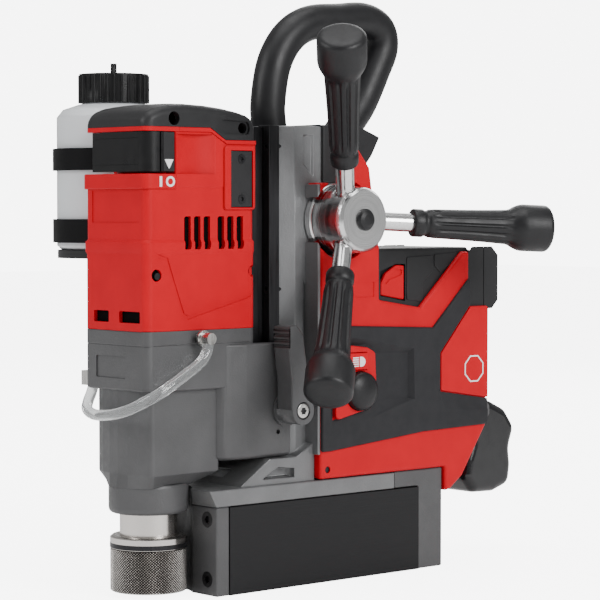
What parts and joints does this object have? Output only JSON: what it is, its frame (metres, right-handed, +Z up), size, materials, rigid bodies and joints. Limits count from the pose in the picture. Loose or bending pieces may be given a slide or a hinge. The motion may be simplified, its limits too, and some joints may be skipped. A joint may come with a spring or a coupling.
{
  "type": "magnetic drill press",
  "caption": "Portable magnetic drill press with a permanent magnet foot, rack-fed motor carriage, three-arm feed handle, coolant bottle and rear battery pack.",
  "frame": {"origin": "centre of the bottom face of the magnet foot, on the surface that the machine clamps to", "axes": "+Z up along the column, spindle side towards -Y, battery towards +Y, feed handles on the +X side"},
  "size_m": [0.2274, 0.3459, 0.374],
  "materials": {
    "red_shell": "satin moulded",
    "dark_overmould": "matte",
    "dark_shell": "fine moulded texture",
    "black_plastic": "gloss",
    "black_rubber": "matte",
    "casting_grey": "satin powder coat",
    "column_silver": "bead-blasted",
    "turned_aluminium": "turned and polished",
    "bright_steel": "ground",
    "nickel_steel": "nickel plate",
    "black_steel": "black oxide",
    "magnet_metal": "plated",
    "bronze": "sintered",
    "copper_winding": "enamelled",
    "board_green": "matte",
    "clear_hose": "clear",
    "bottle_white": "translucent white",
    "lens": "frosted"
  },
  "bodies": {
    "stand": {"magnet_housing": "casting_grey", "pole_bars": "bright_steel", "side_plates": "black_steel", "fixed_magnets": "magnet_metal", "lever_bracket": "casting_grey", "lever_pins": "bright_steel", "column": "column_silver", "guide_rails": "black_steel", "pinion_bushes": "bronze", "stand_screws": "black_steel", "carry_handle": "black_rubber", "tower_cap": "dark_shell", "housing_left": "red_shell", "housing_right": "red_shell", "side_overmoulds": "dark_overmould", "stop_panels": "red_shell", "lamp_panel": "red_shell", "control_board": "board_green", "terminal_block": "black_plastic", "work_light": "lens"},
    "magnet_shuttle": {"shifting_magnets": "magnet_metal", "shift_bar": "black_steel"},
    "magnet_lever": {"magnet_lever": "black_plastic"},
    "motor_button": {"motor_button": "black_rubber"},
    "lamp_button": {"lamp_button": "red_shell"},
    "battery": {"battery_case": "dark_shell"},
    "battery_latch_left": {"battery_latch_left": "black_plastic"},
    "battery_latch_right": {"battery_latch_right": "black_plastic"},
    "carriage": {"gearcase": "casting_grey", "gearcase_cover": "casting_grey", "slide_plate": "black_steel", "rack": "bright_steel", "motor_housing_left": "red_shell", "motor_housing_right": "red_shell", "top_cap": "dark_shell", "motor_side_plate": "dark_shell", "carriage_screws": "black_steel", "stator": "copper_winding", "shaft_bearings": "bright_steel", "bottle_holder": "black_rubber", "coolant_bottle": "bottle_white", "bottle_valve": "dark_shell", "hose_fittings": "bright_steel", "coolant_hose": "clear_hose"},
    "power_switch": {"switch_ring": "black_rubber"},
    "lock_lever": {"lock_lever": "casting_grey"},
    "valve_tap": {"valve_tap": "bronze"},
    "bottle_cap": {"bottle_cap": "black_plastic"},
    "rotor": {"rotor_shaft": "bright_steel", "rotor_core": "bright_steel", "cooling_fan": "black_plastic"},
    "intermediate_gear": {"intermediate_gear": "bright_steel"},
    "spindle": {"spindle": "bright_steel", "chuck_body": "nickel_steel"},
    "chuck_sleeve": {"chuck_sleeve": "nickel_steel"},
    "feed": {"pinion_shaft": "bright_steel", "feed_hub": "turned_aluminium", "hub_cap": "black_rubber", "feed_rods": "turned_aluminium", "feed_grips": "black_rubber"}
  },
  "joints": [
    {"name": "carriage_slide", "type": "slide", "parent": "stand", "child": "carriage", "axis": [0, 0, 1], "range_m": [0, 0.146]},
    {"name": "feed_turn", "type": "hinge", "parent": "stand", "child": "feed", "pos_m": [0, 0.0055, 0.23065], "axis": [1, 0, 0], "range_deg": [-700, 0]},
    {"name": "magnet_shift", "type": "slide", "parent": "stand", "child": "magnet_shuttle", "axis": [0, 1, 0], "range_m": [0, 0.01]},
    {"name": "magnet_lever_turn", "type": "hinge", "parent": "stand", "child": "magnet_lever", "pos_m": [0, 0.148, 0.1], "axis": [1, 0, 0], "range_deg": [0, 90.5]},
    {"name": "motor_button_press", "type": "slide", "parent": "stand", "child": "motor_button", "axis": [-1, 0, 0], "range_m": [0, 0.0025], "stiffness_N_per_m": 500, "springref_m": -0.002},
    {"name": "lamp_button_press", "type": "slide", "parent": "stand", "child": "lamp_button", "axis": [-1, 0, 0], "range_m": [0, 0.0012], "stiffness_N_per_m": 500, "springref_m": -0.002},
    {"name": "battery_slide", "type": "slide", "parent": "stand", "child": "battery", "axis": [0, 1, 0], "range_m": [0, 0.13]},
    {"name": "latch_left_press", "type": "slide", "parent": "battery", "child": "battery_latch_left", "axis": [1, 0, 0], "range_m": [0, 0.0014], "stiffness_N_per_m": 500, "springref_m": -0.002},
    {"name": "latch_right_press", "type": "slide", "parent": "battery", "child": "battery_latch_right", "axis": [-1, 0, 0], "range_m": [0, 0.0014], "stiffness_N_per_m": 500, "springref_m": -0.002},
    {"name": "power_switch_turn", "type": "hinge", "parent": "carriage", "child": "power_switch", "pos_m": [0, -0.11205, 0.272], "axis": [0, 0, 1], "range_deg": [-12, 0]},
    {"name": "lock_lever_turn", "type": "hinge", "parent": "carriage", "child": "lock_lever", "pos_m": [0, -0.0365, 0.1117], "axis": [1, 0, 0], "range_deg": [0, 60]},
    {"name": "valve_turn", "type": "hinge", "parent": "carriage", "child": "valve_tap", "pos_m": [-0.052, -0.07, 0.198], "axis": [0, 1, 0], "range_deg": [0, 90]},
    {"name": "bottle_cap_turn", "type": "hinge", "parent": "carriage", "child": "bottle_cap", "pos_m": [-0.072, -0.09, 0.315], "axis": [0, 0, 1], "range_deg": [0, 360]},
    {"name": "spindle_spin", "type": "hinge", "parent": "carriage", "child": "spindle", "pos_m": [0, -0.1184, 0.1], "axis": [0, 0, 1], "continuous": true},
    {"name": "intermediate_spin", "type": "hinge", "parent": "carriage", "child": "intermediate_gear", "pos_m": [0.011, -0.09595, 0.14], "axis": [0, 0, 1], "continuous": true},
    {"name": "rotor_spin", "type": "hinge", "parent": "carriage", "child": "rotor", "pos_m": [0, -0.11205, 0.2], "axis": [0, 0, 1], "continuous": true},
    {"name": "sleeve_turn", "type": "hinge", "parent": "spindle", "child": "chuck_sleeve", "pos_m": [0, -0.1184, 0.015], "axis": [0, 0, 1], "range_deg": [0, 35], "stiffness_Nm_per_rad": 0.05, "springref_deg": -11.46}
  ],
  "couplings": [
    {"joint": "feed_turn", "follows": "carriage_slide", "rad_per_m": -83.333},
    {"joint": "magnet_lever_turn", "follows": "magnet_shift", "rad_per_m": 157.08},
    {"joint": "intermediate_spin", "follows": "spindle_spin", "ratio": -3.1667},
    {"joint": "rotor_spin", "follows": "spindle_spin", "ratio": 10.556}
  ]
}
